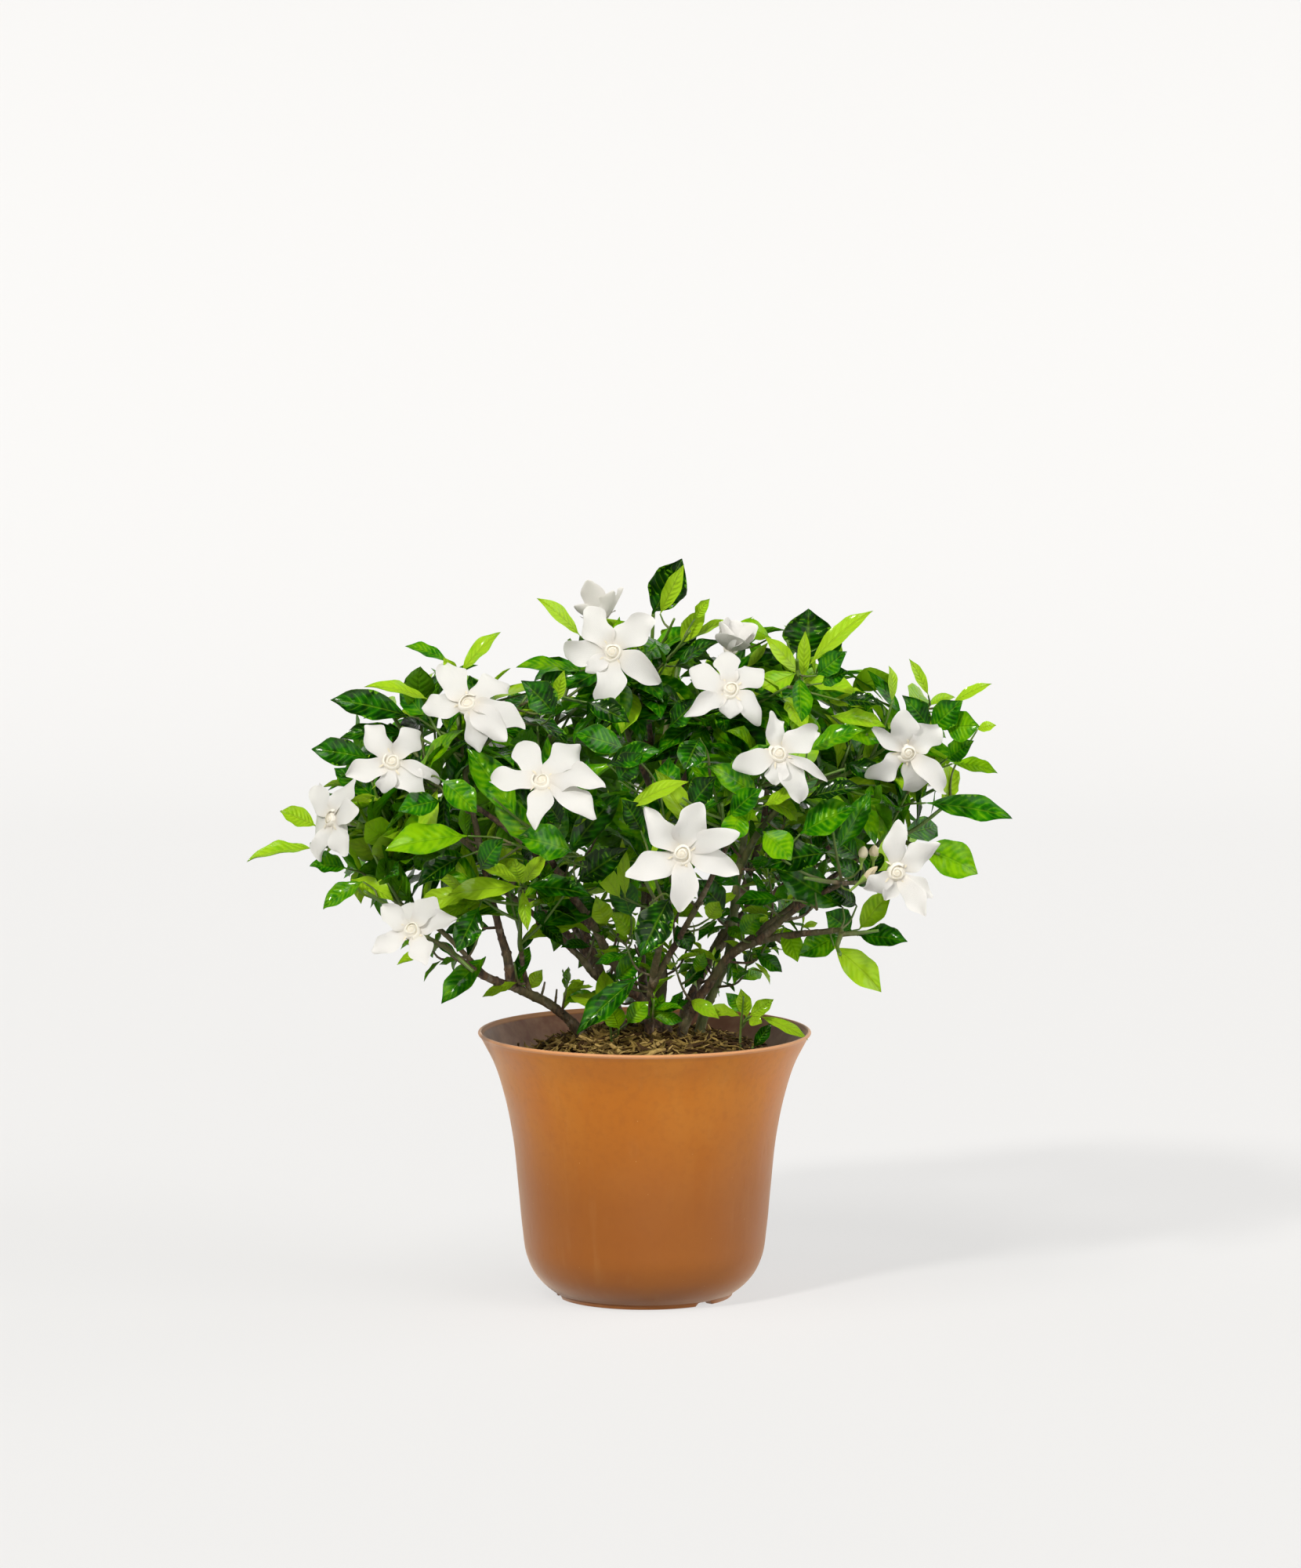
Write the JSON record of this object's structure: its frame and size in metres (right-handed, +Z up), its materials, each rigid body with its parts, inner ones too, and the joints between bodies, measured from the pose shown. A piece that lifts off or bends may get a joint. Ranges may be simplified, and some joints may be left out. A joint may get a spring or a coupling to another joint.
{
  "type": "potted gardenia",
  "caption": "Flowering gardenia bush with forked woody stems, glossy pointed leaves and open white flowers, rooted in mulched soil in a flared pot with a foot ring.",
  "frame": {"origin": "on the pot's axis at the floor, which is also the middle of the underside of the whole plant's box", "axes": "+Z up, the front of the plant faces -Y, +X is to the right seen from the front"},
  "size_m": [0.4999, 0.3882, 0.4869],
  "materials": {
    "pot": "satin",
    "soil": "matte",
    "mulch": "matte",
    "bark": "matte",
    "leaf": "gloss",
    "petal": "satin",
    "bud": "satin"
  },
  "bodies": {
    "root": {"branch_back": "leaf", "branch_back_crown": "leaf", "branch_back_left_crown": "leaf", "branch_back_left_far": "leaf", "branch_back_left_low": "leaf", "branch_back_right_crown": "leaf", "branch_back_right_far": "leaf", "branch_back_right_low": "leaf", "branch_centre_left": "leaf", "branch_crown_front": "leaf", "branch_crown_right": "leaf", "branch_crown_top": "leaf", "branch_far_left": "leaf", "branch_far_right": "leaf", "branch_front_high": "leaf", "branch_front_low": "leaf", "branch_left_high": "leaf", "branch_left_side": "leaf", "branch_left_upright": "leaf", "branch_low_left": "leaf", "branch_right_crown": "leaf", "branch_right_front": "leaf", "branch_right_high": "leaf", "branch_right_low": "leaf", "branch_young_shoot": "leaf", "bud_lower": "bud", "bud_round": "bud", "bud_upper": "bud", "fibre_mulch": "mulch", "flower_back": "petal", "flower_back_left": "petal", "flower_back_right": "petal", "flower_centre_left": "petal", "flower_crown_back": "petal", "flower_crown_front": "petal", "flower_far_left": "petal", "flower_front": "petal", "flower_half_open": "petal", "flower_left": "petal", "flower_left_top": "petal", "flower_low_left": "petal", "flower_low_right": "petal", "flower_right": "petal", "flower_right_centre": "petal", "flower_upper_right": "petal", "pot": "pot", "potting_soil": "soil", "sprout_left": "leaf", "sprout_right": "leaf", "stem_back": "bark", "stem_back_left": "bark", "stem_back_right": "bark", "stem_centre": "bark", "stem_centre_left": "bark", "stem_front": "bark", "stem_low_left": "bark", "stem_right": "bark", "stem_right_upright": "bark"}
  },
  "joints": []
}
